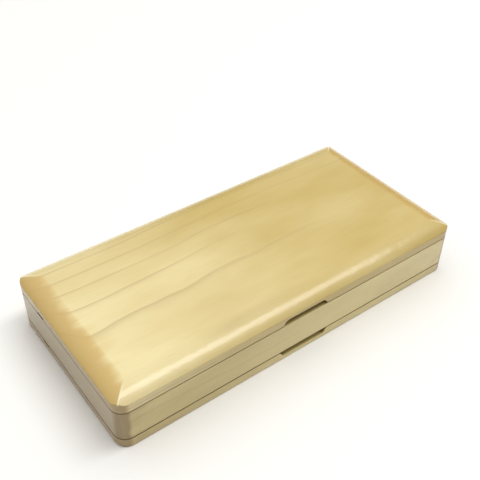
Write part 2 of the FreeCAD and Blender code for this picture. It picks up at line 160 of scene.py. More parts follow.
def lacquered_maple(name, along, pith, colours, light_falloff, line_strength, side_shading):
    """Hard maple, planed and sprayed with clear semi-gloss lacquer. The growth rings are cylinders
    round a pith that runs along the board, so the face shows sparse long lines, and the cut across
    the ends turns them into arches and drinks in more finish, which leaves it tan. The real pores
    are too fine to see, so short flecks 1 mm across stand in for them.

    pith is its place across the board and its height. colours are those of the light wood, the dark
    wood, the ring lines, the end grain on top and the painted shade of the sides. light_falloff paints
    light and shade along the board: it lightens the wood, or darkens it if negative, at the left end and
    from the middle on. line_strength is for the ring lines, and side_shading is how far a long side takes
    the painted shade of the sides as it turns away from facing up."""
    material, tree = new_material(name)
    light, dark, line, end_grain, side = colours
    place = add(tree, "ShaderNodeTexCoord")
    turn = 0.0 if along == "X" else -math.pi / 2
    board = add(tree, "ShaderNodeMapping", {"Rotation": (0, 0, turn)}, {"Vector": (place, "Object")})
    from_pith = add(tree, "ShaderNodeMapping", {"Location": (0, -pith[0], -pith[1])}, {"Vector": (board, 0)})

    # The trunk is not quite straight: the rings sway by about a millimetre
    slow = add(tree, "ShaderNodeMapping", {"Scale": (11, 16, 16)}, {"Vector": (from_pith, 0)})
    sway = add(tree, "ShaderNodeTexNoise", {"Scale": 1, "Detail": 3, "Roughness": 0.4}, {"Vector": (slow, 0)})
    centred = add(tree, "ShaderNodeVectorMath", {1: (0.5, 0.5, 0.5)}, {0: (sway, "Color")},
                  operation="SUBTRACT")
    pushed = add(tree, "ShaderNodeVectorMath", {1: (0, RING_SWAY, RING_SWAY)}, {0: (centred, 0)},
                 operation="MULTIPLY")
    trunk = add(tree, "ShaderNodeVectorMath", links={0: (from_pith, 0), 1: (pushed, 0)}, operation="ADD")
    across_only = add(tree, "ShaderNodeVectorMath", {1: (0, 1, 1)}, {0: (trunk, 0)}, operation="MULTIPLY")
    radius = add(tree, "ShaderNodeVectorMath", links={0: (across_only, 0)}, operation="LENGTH")

    # Each ring darkens outwards and ends in a crisp line of late wood
    rings = add(tree, "ShaderNodeMath", {1: FIRST_RING}, {0: (radius, "Value")}, operation="SUBTRACT")
    counted = add(tree, "ShaderNodeMath", {1: RING_SPACING}, {0: (rings, 0)}, operation="DIVIDE")
    phase = add(tree, "ShaderNodeMath", links={0: (counted, 0)}, operation="FRACT")
    rise = add(tree, "ShaderNodeMapRange", {"From Min": 0.62, "From Max": LATE_WOOD_PEAK},
               {"Value": (phase, 0)})
    sharpened = add(tree, "ShaderNodeMath", {1: 4.0}, {0: (rise, 0)}, operation="POWER")
    fall = add(tree, "ShaderNodeMapRange",
               {"From Min": LATE_WOOD_PEAK, "From Max": 1.0, "To Min": 1.0, "To Max": 0.0},
               {"Value": (phase, 0)})
    late_wood = add(tree, "ShaderNodeMath", links={0: (sharpened, 0), 1: (fall, 0)}, operation="MULTIPLY")

    # The lines come and go, and are strongest at the left end
    patchy = add(tree, "ShaderNodeMapping", {"Scale": (10, 55, 55)}, {"Vector": (from_pith, 0)})
    patches = add(tree, "ShaderNodeTexNoise", {"Scale": 1, "Detail": 2}, {"Vector": (patchy, 0)})
    parts = add(tree, "ShaderNodeSeparateXYZ", links={"Vector": (board, 0)})
    fading = add(tree, "ShaderNodeMapRange",
                 {"From Min": -80 * MM, "From Max": 30 * MM, "To Min": 0.4, "To Max": 0.0},
                 {"Value": (parts, "X")}, interpolation_type="SMOOTHSTEP")
    kept = add(tree, "ShaderNodeMath", links={0: (patches, 0), 1: (fading, 0)}, operation="ADD")
    strength = add(tree, "ShaderNodeMapRange",
                   {"From Min": 0.42, "From Max": 0.85, "To Min": 0.05 * line_strength,
                    "To Max": line_strength},
                   {"Value": (kept, 0)})
    line_amount = add(tree, "ShaderNodeMath", links={0: (late_wood, 0), 1: (strength, 0)},
                      operation="MULTIPLY")

    # Ground colour: a soft mottle and fine flecks drawn out along the fibres
    mottled = add(tree, "ShaderNodeMapping", {"Scale": (12, 36, 36)}, {"Vector": (from_pith, 0)})
    mottle = add(tree, "ShaderNodeTexNoise", {"Scale": 1, "Detail": 3, "Roughness": 0.45},
                 {"Vector": (mottled, 0)})
    # Painted light and shade along the length: lighter or darker at the left end than from the middle on, as
    # the light falls across the case
    painted_falloff = add(tree, "ShaderNodeMapRange",
                 {"From Min": -100 * MM, "From Max": 15 * MM, "To Min": light_falloff[0], "To Max": light_falloff[1]},
                 {"Value": (parts, "X")})
    toned = add(tree, "ShaderNodeMath", links={0: (mottle, 0), 1: (painted_falloff, 0)}, operation="ADD")
    ground = add(tree, "ShaderNodeValToRGB", links={"Fac": (toned, 0)}, stops=[(0.1, dark), (0.9, light)])
    drawn_out = add(tree, "ShaderNodeMapping", {"Scale": (60, 1000, 1000)}, {"Vector": (from_pith, 0)})
    flecks = add(tree, "ShaderNodeTexNoise", {"Scale": 1, "Detail": 3, "Roughness": 0.6},
                 {"Vector": (drawn_out, 0)})
    fleck_amount = add(tree, "ShaderNodeMapRange", {"From Min": 0.45, "From Max": 0.75, "To Max": 0.07},
                       {"Value": (flecks, 0)})
    flecked = add(tree, "ShaderNodeMix", {7: linear(line)}, {0: (fleck_amount, 0), 6: (ground, 0)},
                  data_type="RGBA")
    lined = add(tree, "ShaderNodeMix", {7: linear(line)}, {0: (line_amount, 0), 6: (flecked, 2)},
                data_type="RGBA")

    # End grain, wherever the surface turns to face along the board, with a ragged fringe
    facing = add(tree, "ShaderNodeSeparateXYZ", links={"Vector": (place, "Normal")})
    endwise = add(tree, "ShaderNodeMath", links={0: (facing, along)}, operation="ABSOLUTE")
    off_middle = add(tree, "ShaderNodeMath", links={0: (parts, "X")}, operation="ABSOLUTE")
    near_end = add(tree, "ShaderNodeMapRange",
                   {"From Min": HALF_LENGTH - 30 * MM, "From Max": HALF_LENGTH - 8 * MM, "To Max": 0.22},
                   {"Value": (off_middle, 0)}, interpolation_type="SMOOTHSTEP")
    streaked = add(tree, "ShaderNodeMapping", {"Scale": (30, 120, 120)}, {"Vector": (from_pith, 0)})
    fringe = add(tree, "ShaderNodeTexNoise", {"Scale": 1, "Detail": 2}, {"Vector": (streaked, 0)})
    uneven = add(tree, "ShaderNodeMath", {1: 0.5, 2: -0.3}, {0: (fringe, 0)}, operation="MULTIPLY_ADD")
    reached = add(tree, "ShaderNodeMath", links={0: (endwise, 0), 1: (near_end, 0)}, operation="ADD")
    turned = add(tree, "ShaderNodeMath", links={0: (reached, 0), 1: (uneven, 0)}, operation="ADD")
    end_amount = add(tree, "ShaderNodeMapRange", {"From Min": 0.08, "From Max": 0.5, "To Max": 0.85},
                     {"Value": (turned, 0)}, interpolation_type="SMOOTHSTEP")
    upward = add(tree, "ShaderNodeMath", links={0: (facing, "Z")}, operation="ABSOLUTE")
    # Painted shade: end grain that faces sideways takes the darker side colour, and a long face takes more of
    # it as it tilts away from facing up
    end_colour = add(tree, "ShaderNodeMix", {6: linear(side), 7: linear(end_grain)}, {0: (upward, 0)},
                     data_type="RGBA")
    side_shade_amount = add(tree, "ShaderNodeMapRange",
                      {"From Min": 0.6, "From Max": 0.96, "To Min": side_shading, "To Max": 0},
                      {"Value": (upward, 0)})
    side_shaded = add(tree, "ShaderNodeMix", {7: linear(side)}, {0: (side_shade_amount, 0), 6: (lined, 2)},
                data_type="RGBA")
    ended = add(tree, "ShaderNodeMix", links={0: (end_amount, 0), 6: (side_shaded, 2), 7: (end_colour, 2)},
                data_type="RGBA")

    # The arrises along the two seams are darker: painted shade for the dark gaps between the lids and the
    # frame
    spot = add(tree, "ShaderNodeSeparateXYZ", links={"Vector": (place, "Object")})
    from_middle = add(tree, "ShaderNodeMath", {1: (FRAME_LOW + FRAME_HIGH) / 2}, {0: (spot, "Z")},
                      operation="SUBTRACT")
    folded = add(tree, "ShaderNodeMath", links={0: (from_middle, 0)}, operation="ABSOLUTE")
    to_seam = add(tree, "ShaderNodeMath", {1: (LID_RIM - BASE_RIM) / 2}, {0: (folded, 0)},
                  operation="SUBTRACT")
    off_seam = add(tree, "ShaderNodeMath", links={0: (to_seam, 0)}, operation="ABSOLUTE")
    at_seam = add(tree, "ShaderNodeMapRange",
                  {"From Min": 0.25 * MM, "From Max": 0.5 * MM, "To Min": 0.8, "To Max": 0},
                  {"Value": (off_seam, 0)})
    not_level = add(tree, "ShaderNodeMapRange", {"From Min": 0.9, "From Max": 0.99, "To Min": 1, "To Max": 0},
                    {"Value": (upward, 0)})
    seam_shade_mask = add(tree, "ShaderNodeMath", links={0: (at_seam, 0), 1: (not_level, 0)}, operation="MULTIPLY")
    seam_shaded = add(tree, "ShaderNodeMix", {7: linear(SEAM_SHADE)}, {0: (seam_shade_mask, 0), 6: (ended, 2)}, data_type="RGBA")

    # The hips, where two bevels of the lid meet, are painted pale: a painted highlight along their rounded
    # arrises
    off_centre = add(tree, "ShaderNodeMath", links={0: (spot, "X")}, operation="ABSOLUTE")
    off_axis = add(tree, "ShaderNodeMath", links={0: (spot, "Y")}, operation="ABSOLUTE")
    past_mitre = add(tree, "ShaderNodeMath", links={0: (off_centre, 0), 1: (off_axis, 0)},
                     operation="SUBTRACT")
    off_mitre = add(tree, "ShaderNodeMath", {1: HALF_LENGTH - HALF_DEPTH}, {0: (past_mitre, 0)},
                    operation="SUBTRACT")
    from_hip = add(tree, "ShaderNodeMath", links={0: (off_mitre, 0)}, operation="ABSOLUTE")
    along_hip = add(tree, "ShaderNodeMapRange",
                    {"From Min": 0.3 * MM, "From Max": 0.75 * MM, "To Min": 1, "To Max": 0},
                    {"Value": (from_hip, 0)})
    sloping = add(tree, "ShaderNodeMapRange",
                  {"From Min": 0.97, "From Max": 0.995, "To Min": 0.75, "To Max": 0},
                  {"Value": (upward, 0)})
    hip_glint = add(tree, "ShaderNodeMath", links={0: (along_hip, 0), 1: (sloping, 0)}, operation="MULTIPLY")
    on_lid = add(tree, "ShaderNodeMapRange",
                 {"From Min": LID_RIM + LIP_HEIGHT * 1.02, "From Max": LID_RIM + LIP_HEIGHT * 1.12},
                 {"Value": (spot, "Z")})
    painted_hip_highlight = add(tree, "ShaderNodeMath", links={0: (hip_glint, 0), 1: (on_lid, 0)}, operation="MULTIPLY")
    hip_lit = add(tree, "ShaderNodeMix", {7: linear(HIP_HIGHLIGHT)}, {0: (painted_hip_highlight, 0), 6: (seam_shaded, 2)}, data_type="RGBA")

    # Painted shade darkens the notches cut for a fingertip and a nail, more so further in, except where they
    # face up
    not_up = add(tree, "ShaderNodeMapRange",
                 {"From Min": 0.4, "From Max": 0.6, "To Min": 1, "To Max": 0},
                 {"Value": (facing, "Z")})
    from_front = add(tree, "ShaderNodeMath", {1: HALF_DEPTH}, {0: (spot, "Y")}, operation="ADD")
    from_end = add(tree, "ShaderNodeMath", {0: HALF_LENGTH}, {1: (off_centre, 0)}, operation="SUBTRACT")
    from_nail = add(tree, "ShaderNodeMath", {1: NAIL_NOTCH_MIDDLE}, {0: (spot, "Y")}, operation="SUBTRACT")
    off_nail = add(tree, "ShaderNodeMath", links={0: (from_nail, 0)}, operation="ABSOLUTE")
    coloured = hip_lit
    for inside, aside, width, reach in ((from_front, off_centre, LOWER_NOTCH_WIDTH, NOTCH_REACH),
                                        (from_end, off_nail, NAIL_NOTCH_WIDTH, NAIL_NOTCH_REACH)):
        between = add(tree, "ShaderNodeMath", {1: width / 2 + 0.1 * MM}, {0: (aside, 0)},
                      operation="LESS_THAN")
        deeper = add(tree, "ShaderNodeMapRange",
                     {"From Min": reach * 0.06, "From Max": reach * 0.4, "To Max": 0.88},
                     {"Value": (inside, 0)})
        ended_by = add(tree, "ShaderNodeMath", {1: reach + 0.1 * MM}, {0: (inside, 0)}, operation="LESS_THAN")
        pocket = add(tree, "ShaderNodeMath", links={0: (between, 0), 1: (deeper, 0)}, operation="MULTIPLY")
        closed = add(tree, "ShaderNodeMath", links={0: (pocket, 0), 1: (ended_by, 0)}, operation="MULTIPLY")
        notch_shade_mask = add(tree, "ShaderNodeMath", links={0: (closed, 0), 1: (not_up, 0)}, operation="MULTIPLY")
        coloured = add(tree, "ShaderNodeMix", {7: linear(NOTCH_SHADE)}, {0: (notch_shade_mask, 0), 6: (coloured, 2)},
                       data_type="RGBA")

    # Sprayed lacquer: soft ripples about 5 mm across, with a trace of the fibres showing through
    ripples = add(tree, "ShaderNodeTexNoise", {"Scale": 200, "Detail": 1.5}, {"Vector": (place, "Object")})
    relief = add(tree, "ShaderNodeMath", {1: 0.02}, {0: (flecks, 0), 2: (ripples, 0)},
                 operation="MULTIPLY_ADD")
    bump = add(tree, "ShaderNodeBump", {"Strength": 0.9, "Distance": 0.14 * MM}, {"Height": (relief, 0)})
    gloss = add(tree, "ShaderNodeMapRange",
                {"From Min": 0.3, "From Max": 0.7, "To Min": 0.44, "To Max": 0.56},
                {"Value": (mottle, 0)})
    shader = add(tree, "ShaderNodeBsdfPrincipled",
                 {"IOR": 1.5, "Coat Weight": 0.8, "Coat Roughness": 0.17, "Coat IOR": 1.5},
                 {"Base Color": (coloured, 2), "Roughness": (gloss, 0), "Normal": (bump, 0),
                  "Coat Normal": (bump, 0)})
    add(tree, "ShaderNodeOutputMaterial", links={"Surface": (shader, 0)})
    return material


def flock(name, base, tip, pile):
    """Short nylon pile on a backing: matt, patchy where the pile leans, with a faint pale sheen. Single
    fibres are too fine to see, so the pile's grain is drawn at its own height."""
    material, tree = new_material(name)
    place = add(tree, "ShaderNodeTexCoord")
    patches = add(tree, "ShaderNodeTexNoise", {"Scale": 70, "Detail": 3}, {"Vector": (place, "Object")})
    fibres = add(tree, "ShaderNodeTexNoise", {"Scale": 1 / pile, "Detail": 2, "Roughness": 0.7},
                 {"Vector": (place, "Object")})
    both = add(tree, "ShaderNodeMath", links={0: (patches, 0), 1: (fibres, 0)}, operation="ADD")
    shade_of = add(tree, "ShaderNodeMapRange", {"From Min": 0.75, "From Max": 1.3}, {"Value": (both, 0)})
    colour = add(tree, "ShaderNodeValToRGB", links={"Fac": (shade_of, 0)}, stops=[(0.0, base), (1.0, tip)])
    bump = add(tree, "ShaderNodeBump", {"Strength": 0.7, "Distance": pile / 2}, {"Height": (fibres, 0)})
    shader = add(tree, "ShaderNodeBsdfPrincipled",
                 {"Roughness": 0.95, "Sheen Weight": 0.25, "Sheen Roughness": 0.4, "Specular IOR Level": 0.2},
                 {"Base Color": (colour, 0), "Normal": (bump, 0)})
    add(tree, "ShaderNodeOutputMaterial", links={"Surface": (shader, 0)})
    return material


def worked_metal(name, bright, dull, roughness):
    """Rolled or drawn metal with faint lines along X, 0.25 mm apart, and clouds of light tarnish."""
    material, tree = new_material(name)
    place = add(tree, "ShaderNodeTexCoord")
    stretched = add(tree, "ShaderNodeMapping", {"Scale": (100, 4000, 4000)}, {"Vector": (place, "Object")})
    lines = add(tree, "ShaderNodeTexNoise", {"Scale": 1, "Detail": 2}, {"Vector": (stretched, 0)})
    tarnish = add(tree, "ShaderNodeTexNoise", {"Scale": 400, "Detail": 4}, {"Vector": (place, "Object")})
    colour = add(tree, "ShaderNodeValToRGB", links={"Fac": (tarnish, 0)}, stops=[(0.38, dull), (0.6, bright)])
    rough = add(tree, "ShaderNodeMapRange",
                {"From Min": 0.35, "From Max": 0.65, "To Min": roughness + 0.14, "To Max": roughness},
                {"Value": (tarnish, 0)})
    bump = add(tree, "ShaderNodeBump", {"Strength": 0.3, "Distance": 0.02 * MM}, {"Height": (lines, 0)})
    shader = add(tree, "ShaderNodeBsdfPrincipled", {"Metallic": 1.0},
                 {"Base Color": (colour, 0), "Roughness": (rough, 0), "Normal": (bump, 0)})
    add(tree, "ShaderNodeOutputMaterial", links={"Surface": (shader, 0)})
    return material


def sanded_plywood(name):
    """Bare birch plywood: dry and pale, with close even grain and no lacquer."""
    material, tree = new_material(name)
    place = add(tree, "ShaderNodeTexCoord")
    stretched = add(tree, "ShaderNodeMapping", {"Scale": (30, 600, 600)}, {"Vector": (place, "Object")})
    grain = add(tree, "ShaderNodeTexNoise", {"Scale": 1, "Detail": 4}, {"Vector": (stretched, 0)})
    colour = add(tree, "ShaderNodeValToRGB", links={"Fac": (grain, 0)},
                 stops=[(0.3, "#b89668"), (0.7, "#d3b588")])
    bump = add(tree, "ShaderNodeBump", {"Strength": 0.3, "Distance": 0.05 * MM}, {"Height": (grain, 0)})
    shader = add(tree, "ShaderNodeBsdfPrincipled", {"Roughness": 0.7},
                 {"Base Color": (colour, 0), "Normal": (bump, 0)})
    add(tree, "ShaderNodeOutputMaterial", links={"Surface": (shader, 0)})
    return material


# The pith of the lid's board lies 95 mm under its face, forward of the middle. The other boards
# come from elsewhere in the tree.
# The last colour of each board is painted shade for its sides, and the pair of numbers after the colours
# paints light and shade along its length.
lid_maple = lacquered_maple("lid_maple_lacquer", "X", pith=(-28 * MM, LID_TOP - 95 * MM),
                            colours=("#ecdca4", "#c5aa56", "#94703a", "#ceaa58", "#9c7c3c"),
                            light_falloff=(0.34, -0.3), line_strength=0.36, side_shading=0.26)
base_maple = lacquered_maple("base_maple_lacquer", "X", pith=(31 * MM, -132 * MM),
                             colours=("#e6d492", "#b8a060", "#86683a", "#a08048", "#9a7c46"),
                             light_falloff=(-0.12, 0.25), line_strength=0.2, side_shading=0.0)
rail_maple = lacquered_maple("rail_maple_lacquer", "X", pith=(74 * MM, -52 * MM),
                             colours=("#e8d698", "#b8a060", "#86683a", "#876a34", "#8f7440"),
                             light_falloff=(-0.12, 0.3), line_strength=0.2, side_shading=0.0)
# The end rails take a darker, greyer copy of the rail maple: painted shade for the end faces
shaded_end_maple = lacquered_maple("shaded_end_rail_maple_lacquer", "Y", pith=(68 * MM, -77 * MM),
                            colours=("#b09c6e", "#968054", "#86683a", "#876a34", "#8f7440"),
                            light_falloff=(0.0, 0.0), line_strength=0.25, side_shading=0.0)
tray_flock = flock("black_velvet_flock", "#0e0e10", "#222226", 0.35 * MM)
lid_felt = flock("black_felt", "#111113", "#2a2a2e", 0.5 * MM)
brass = worked_metal("rolled_brass", "#cfae6a", "#b8975a", 0.26)
steel = worked_metal("drawn_steel_wire", "#b9b9b6", "#8f8f8d", 0.3)
nickel = worked_metal("nickel_plate", "#cfccc4", "#aaa79f", 0.16)
plywood = sanded_plywood("birch_plywood")


# Mesh helpers

def block(low, high):
    """A box between two corners."""
    bm = bmesh.new()
    size = Vector(high) - Vector(low)
    middle = (Vector(high) + Vector(low)) / 2
    bmesh.ops.create_cube(bm, size=1.0, matrix=Matrix.Translation(middle) @ Matrix.Diagonal((*size, 1.0)))
    return bm


def upright_cylinder(across, along, low, high, low_radius, high_radius, steps):
    bm = bmesh.new()
    middle = Matrix.Translation((across, along, (low + high) / 2))
    bmesh.ops.create_cone(bm, cap_ends=True, segments=steps, radius1=low_radius, radius2=high_radius,
                          depth=high - low, matrix=middle)
    return bm


def lying_cylinder(start, end, along, height, radius, steps):
    """A cylinder whose axis runs along X."""
    bm = bmesh.new()
    middle = Matrix.Translation(((start + end) / 2, along, height)) @ Matrix.Rotation(math.pi / 2, 4, "Y")
    bmesh.ops.create_cone(bm, cap_ends=True, segments=steps, radius1=radius, radius2=radius,
                          depth=end - start, matrix=middle)
    return bm


def round_edges(bm, edges, radius, steps):
    bmesh.ops.bevel(bm, geom=edges, offset=radius, offset_type="OFFSET", segments=steps, profile=0.5,
                    affect="EDGES", clamp_overlap=True, material=-1)


def is_upright(edge):
    span = edge.verts[0].co - edge.verts[1].co
    return abs(span.x) < NEAR and abs(span.y) < NEAR


def is_level(edge, height):
    return all(abs(corner.co.z - height) < NEAR for corner in edge.verts)


def is_across(edge, along):
    """Whether both ends of an edge lie at one y."""
    return all(abs(corner.co.y - along) < NEAR for corner in edge.verts)


def is_crease(edge):
    return edge.calc_face_angle(0.0) > 0.3


def rounded_board(low, high, radius, steps):
    """A board with rounded upright corners."""
    bm = block(low, high)
    round_edges(bm, [edge for edge in bm.edges if is_upright(edge)], radius, steps)
    return bm


def round_outline(bm, height, radius, steps):
    round_edges(bm, [edge for edge in bm.edges if is_level(edge, height) and is_crease(edge)], radius, steps)


def slice_off(bm, point, outward):
    """Takes away what lies beyond a plane, and closes the cut."""
    geometry = bm.verts[:] + bm.edges[:] + bm.faces[:]
    bmesh.ops.bisect_plane(bm, geom=geometry, dist=1e-7, plane_co=point, plane_no=outward, clear_outer=True)
    bmesh.ops.holes_fill(bm, edges=[edge for edge in bm.edges if edge.is_boundary], sides=0)


def as_object(name, bm):
    mesh = bpy.data.meshes.new(name)
    bmesh.ops.recalc_face_normals(bm, faces=bm.faces)
    bm.to_mesh(mesh)
    bm.free()
    made = bpy.data.objects.new(name, mesh)
    bpy.context.scene.collection.objects.link(made)
    return made


def combine(piece, shapes, operation):
    """Cuts each shape out of a piece or joins it on."""
    for bm in shapes:
        tool = as_object("tool", bm)
        boolean = piece.modifiers.new("combine", "BOOLEAN")
        boolean.object = tool
        boolean.operation = operation
        boolean.solver = "EXACT"
        bpy.context.view_layer.update()
        before = piece.data
        evaluated = piece.evaluated_get(bpy.context.evaluated_depsgraph_get())
        piece.data = bpy.data.meshes.new_from_object(evaluated)
        piece.modifiers.clear()
        spent = tool.data
        bpy.data.objects.remove(tool)
        bpy.data.meshes.remove(spent)
        bpy.data.meshes.remove(before)


def shade(piece, sharp_angle=math.radians(28)):
    """Smooth shading that breaks at edges sharper than an angle."""
    bm = bmesh.new()
    bm.from_mesh(piece.data)
    for face in bm.faces:
        face.smooth = True
    for edge in bm.edges:
        edge.smooth = edge.calc_face_angle(0.0) < sharp_angle
    bm.to_mesh(piece.data)
    bm.free()
    weighted = piece.modifiers.new("flat_faces_first", "WEIGHTED_NORMAL")
    weighted.keep_sharp = True
    weighted.weight = 90


def dress(piece, material, body, slot, *nodes):
    """Gives a finished piece its material, its body and the CAD nodes that it stands for."""
    piece.data.materials.clear()
    piece.data.materials.append(material)
    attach(piece, body)
    if nodes:
        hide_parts(*nodes)


# What is cut into the rims. inwards is +1 where the wood lies above the rim, and -1 below it.

def from_rim(rim, inwards, depth):
    """Lowest and highest z of a cut of some depth, run a little past the rim."""
    return sorted((rim - inwards * OVERLAP, rim + inwards * depth))


def finger_notch(rim, inwards, width):
    """A shallow trapezoid with rounded corners and a coved back."""
    foot = width / 2
    head = foot - NOTCH_SLOPE
    corners = [(-foot, -OVERLAP), (foot, -OVERLAP), (foot, 0), (head, NOTCH_HEIGHT),
               (-head, NOTCH_HEIGHT), (-foot, 0)]
    front = -HALF_DEPTH - OVERLAP
    back = -HALF_DEPTH + NOTCH_REACH
    bm = bmesh.new()
    face = bm.faces.new([bm.verts.new((across, front, rim + inwards * rise)) for across, rise in corners])
    grown = bmesh.ops.extrude_face_region(bm, geom=[face])["geom"]
    far_end = [item for item in grown if isinstance(item, bmesh.types.BMVert)]
    bmesh.ops.translate(bm, verts=far_end, vec=(0, back - front, 0))
    ceiling = rim + inwards * NOTCH_HEIGHT
    shoulders = [edge for edge in bm.edges if is_level(edge, ceiling)
                 and abs(edge.verts[0].co.x - edge.verts[1].co.x) < NEAR]
    round_edges(bm, shoulders, NOTCH_ROUNDING, 6)
    cove = [edge for edge in bm.edges if is_across(edge, back) and is_level(edge, ceiling)]
    round_edges(bm, cove, NOTCH_COVE, 6)
    return bm


def nail_notches(rim, inwards):
    """One small notch at each end, nearer the rear, to pull the lid open by."""
    low, high = from_rim(rim, inwards, NAIL_NOTCH_HEIGHT)
    cutters = []
    for side in (-1, 1):
        left, right = sorted((side * (HALF_LENGTH - NAIL_NOTCH_REACH), side * (HALF_LENGTH + OVERLAP)))
        start = (left, NAIL_NOTCH_MIDDLE - NAIL_NOTCH_WIDTH / 2, low)
        cutters.append(block(start, (right, NAIL_NOTCH_MIDDLE + NAIL_NOTCH_WIDTH / 2, high)))
    return cutters


def mortises(level, rim, inwards):
    """A seat for each hinge leaf, open at the rear."""
    low, high = from_rim(rim, inwards, LEAF_THICKNESS)
    cutters = []
    for where in ("left", "right"):
        leaf_low, leaf_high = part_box("%s_%s_frame_leaf" % (level, where))
        start = (leaf_low.x - LEAF_CLEARANCE, leaf_low.y - LEAF_CLEARANCE, low)
        cutters.append(block(start, (leaf_high.x + LEAF_CLEARANCE, HALF_DEPTH + OVERLAP, high)))
    return cutters


def magnet_places(node):
    """Radius, and the centres of the two discs of one magnet node."""
    low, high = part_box(node)
    radius = (high.y - low.y) / 2
    along = (low.y + high.y) / 2
    return radius, ((low.x + radius, along), (high.x - radius, along))


def magnet_sockets(node, rim, inwards):
    low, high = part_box(node)
    radius, places = magnet_places(node)
    bottom, top = from_rim(rim, inwards, high.z - low.z)
    wide = radius + SOCKET_CLEARANCE
    return [upright_cylinder(across, along, bottom, top, wide, wide, 40) for across, along in places]


# Lids

def bevel_profile():
    """The crowned bevel from the lip inwards, as points of (distance from the side, height)."""
    start = Vector((0.0, LID_RIM + LIP_HEIGHT))
    end = Vector((BEVEL_WIDTH, LID_TOP))
    chord = end - start
    radius = chord.length_squared / (8 * BEVEL_CROWN) + BEVEL_CROWN / 2
    outwards = Vector((-chord.y, chord.x)).normalized()
    centre = (start + end) / 2 + outwards * (BEVEL_CROWN - radius)
    first = math.atan2(start.y - centre.y, start.x - centre.x)
    last = math.atan2(end.y - centre.y, end.x - centre.x)
    angles = [first + (last - first) * step / BEVEL_STEPS for step in range(BEVEL_STEPS + 1)]
    return [centre + Vector((math.cos(angle), math.sin(angle))) * radius for angle in angles]


def is_hip(edge):
    """Whether an edge runs down one of the mitres where two bevels cross."""
    on_mitre = all(abs((HALF_LENGTH - abs(corner.co.x)) - (HALF_DEPTH - abs(corner.co.y))) < 1e-5
                   for corner in edge.verts)
    return on_mitre and abs(edge.verts[0].co.z - edge.verts[1].co.z) > NEAR


def is_lip(edge):
    """Whether an edge lies between the upright side and a bevel."""
    upright = sum(abs(face.normal.z) < 0.01 for face in edge.link_faces)
    return upright == 1 and min(corner.co.z for corner in edge.verts) > LID_RIM + LIP_HEIGHT * 0.9


def case_outline(low, high):
    """A board with the outline of the case, between two heights."""
    return rounded_board((-HALF_LENGTH, -HALF_DEPTH, low), (HALF_LENGTH, HALF_DEPTH, high), CORNER_RADIUS,
                         CORNER_STEPS)


def bevelled_board():
    """The lid's board: each bevel is a fan of flat cuts that follows the crowned profile."""
    bm = case_outline(LID_RIM, LID_TOP)
    profile = bevel_profile()
    for outward, reach in ((Vector((1, 0, 0)), HALF_LENGTH), (Vector((0, 1, 0)), HALF_DEPTH)):
        for side in (-1, 1):
            for lower, upper in zip(profile, profile[1:]):
                run, climb = upper - lower
                point = outward * side * (reach - lower.x) + Vector((0, 0, lower.y))
                slice_off(bm, point, (outward * side * climb + Vector((0, 0, run))).normalized())
    bm.normal_update()
    round_edges(bm, [edge for edge in bm.edges if is_lip(edge) or is_hip(edge)], ARRIS_ROUNDING, 3)
    round_outline(bm, LID_RIM, RIM_ROUNDING, 3)
    return bm


def recess(lining, rim, inwards):
    """The hollow in a lid, as deep as the far side of its felt."""
    low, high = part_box(lining)
    depth = high.z - rim if inwards > 0 else rim - low.z
    bottom, top = from_rim(rim, inwards, depth)
    return rounded_board((WALL - HALF_LENGTH, WALL - HALF_DEPTH, bottom),
                         (HALF_LENGTH - WALL, HALF_DEPTH - WALL, top), RECESS_RADIUS, 8)


def make_upper_lid():
    lid = as_object("upper_lid_maple", bevelled_board())
    cutters = [recess("upper_lid_lining", LID_RIM, 1), finger_notch(LID_RIM, 1, UPPER_NOTCH_WIDTH)]
    cutters += nail_notches(LID_RIM, 1) + mortises("upper", LID_RIM, 1)
    cutters += magnet_sockets("upper_lid_magnets", LID_RIM, 1)
    combine(lid, cutters, "DIFFERENCE")
    shade(lid)
    dress(lid, lid_maple, "upper_lid", "lid_maple", "upper_lid")


def make_lower_lid():
    bm = case_outline(base_low.z, BASE_RIM)
    round_outline(bm, base_low.z, BASE_ROUNDING, 5)
    round_outline(bm, BASE_RIM, RIM_ROUNDING, 3)
    lid = as_object("lower_lid_maple", bm)
    cutters = [recess("lower_lid_lining", BASE_RIM, -1), finger_notch(BASE_RIM, -1, LOWER_NOTCH_WIDTH)]
    cutters += nail_notches(BASE_RIM, -1) + mortises("lower", BASE_RIM, -1)
    cutters += magnet_sockets("lower_lid_magnets", BASE_RIM, -1)
    combine(lid, cutters, "DIFFERENCE")
    shade(lid)
    dress(lid, base_maple, "lower_lid", "lid_maple", "lower_lid")


def make_lining(node, body):
    """A sheet of felt glued to the floor of a recess, its edges softened by the knife."""
    low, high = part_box(node)
    bm = rounded_board(low, high, RECESS_RADIUS, 8)
    round_outline(bm, high.z, FELT_ROUNDING, 2)
    round_outline(bm, low.z, FELT_ROUNDING, 2)
    felt = as_object(node + "_felt", bm)
    shade(felt)
    dress(felt, lid_felt, body, "lining_felt", node)


# Frame

